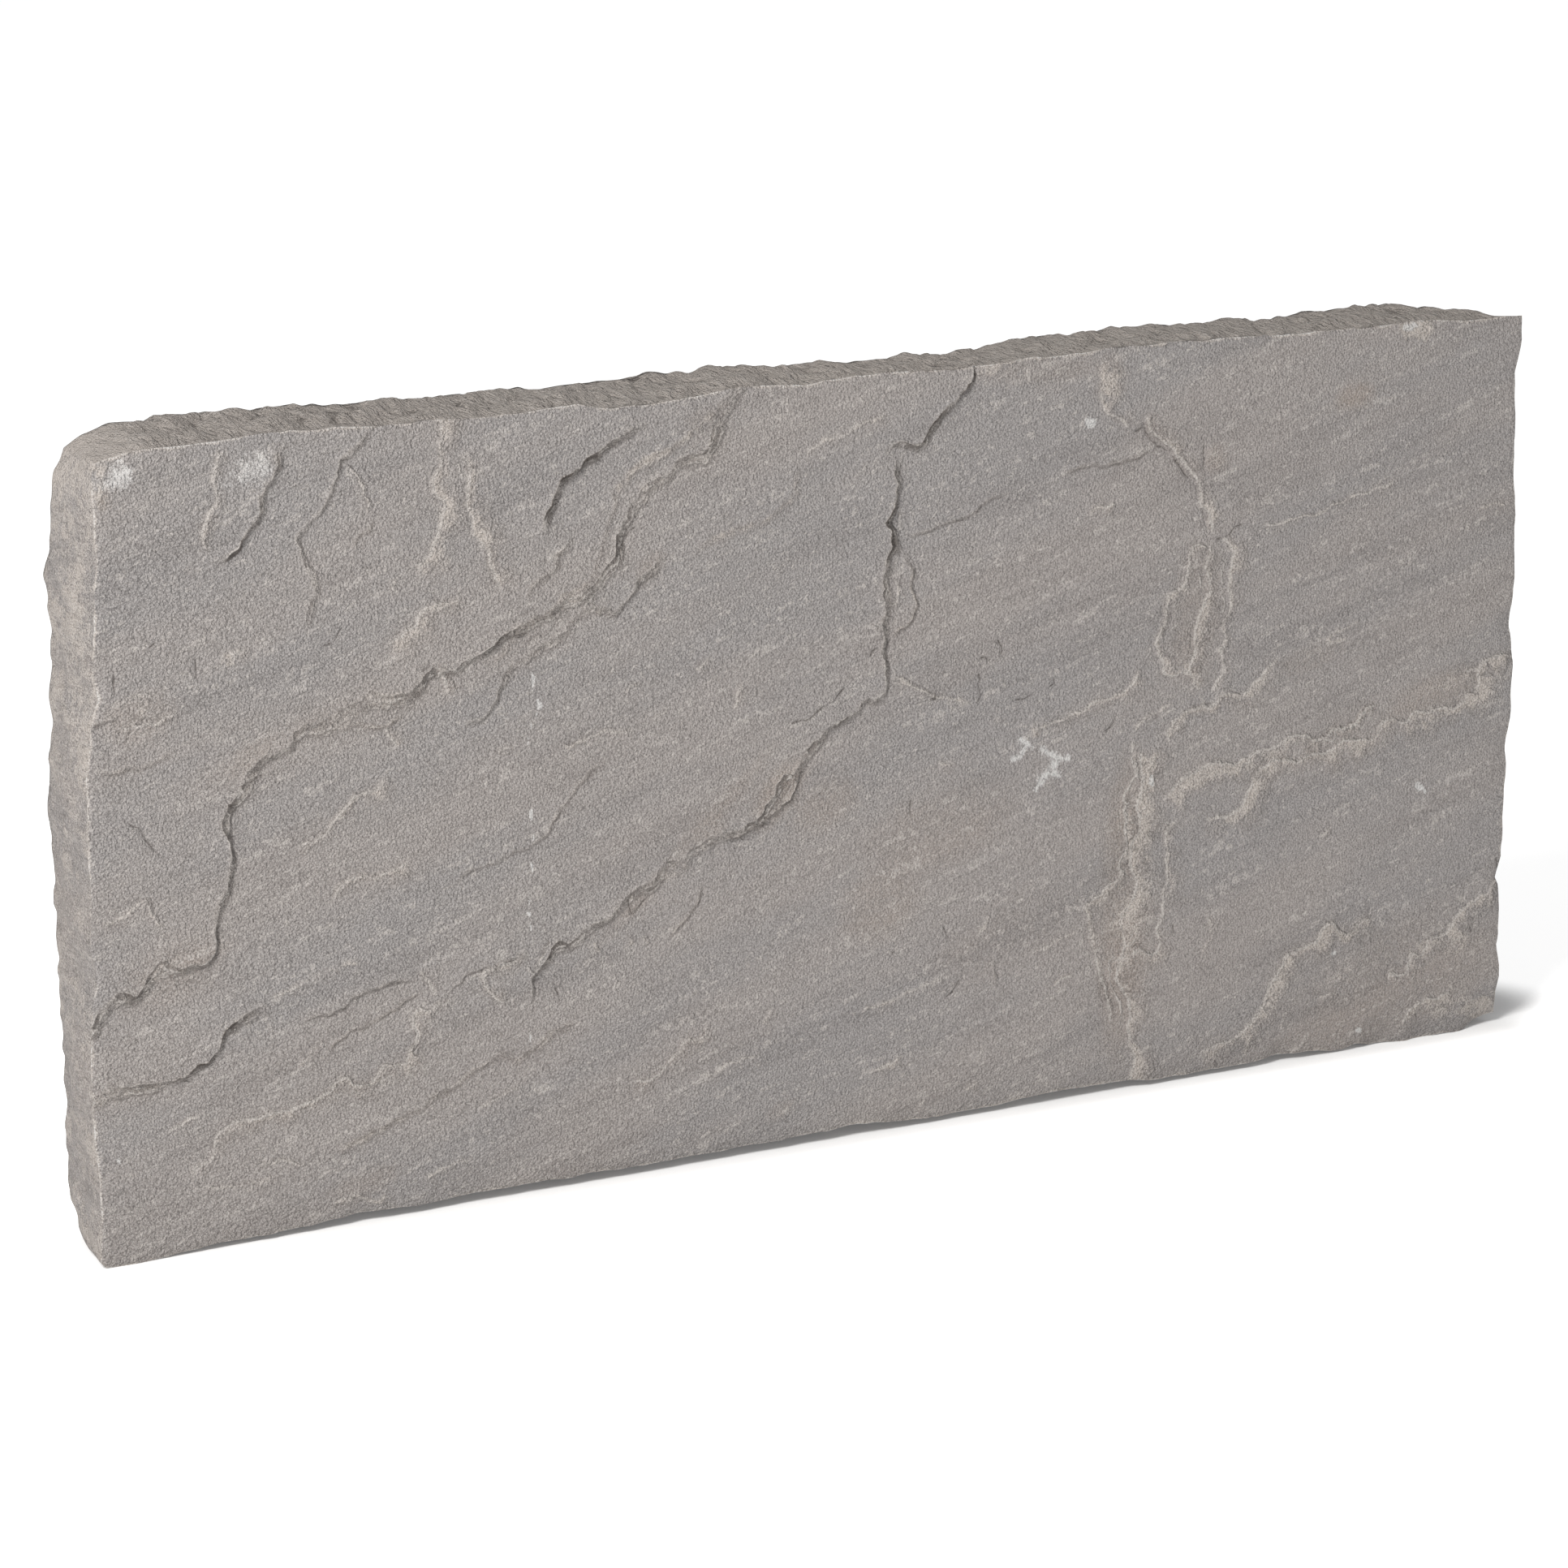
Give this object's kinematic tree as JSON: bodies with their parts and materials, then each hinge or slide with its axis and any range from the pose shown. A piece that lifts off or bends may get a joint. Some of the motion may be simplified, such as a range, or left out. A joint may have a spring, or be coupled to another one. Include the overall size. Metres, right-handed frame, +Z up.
{
  "type": "sandstone edging stone",
  "caption": "Slab of riven grey sandstone that stands on its long narrow edge to border a bed, path or lawn.",
  "frame": {"origin": "centre of the stone's plan at the level of the ground it stands on", "axes": "+X along the length, towards the squarer end; -Y is the riven front; +Z up, from the long edge it stands on"},
  "size_m": [0.506, 0.0374, 0.2431],
  "materials": {
    "sandstone": "riven, fine grained, matt"
  },
  "bodies": {
    "root": {"edging_stone": "sandstone"}
  },
  "joints": []
}
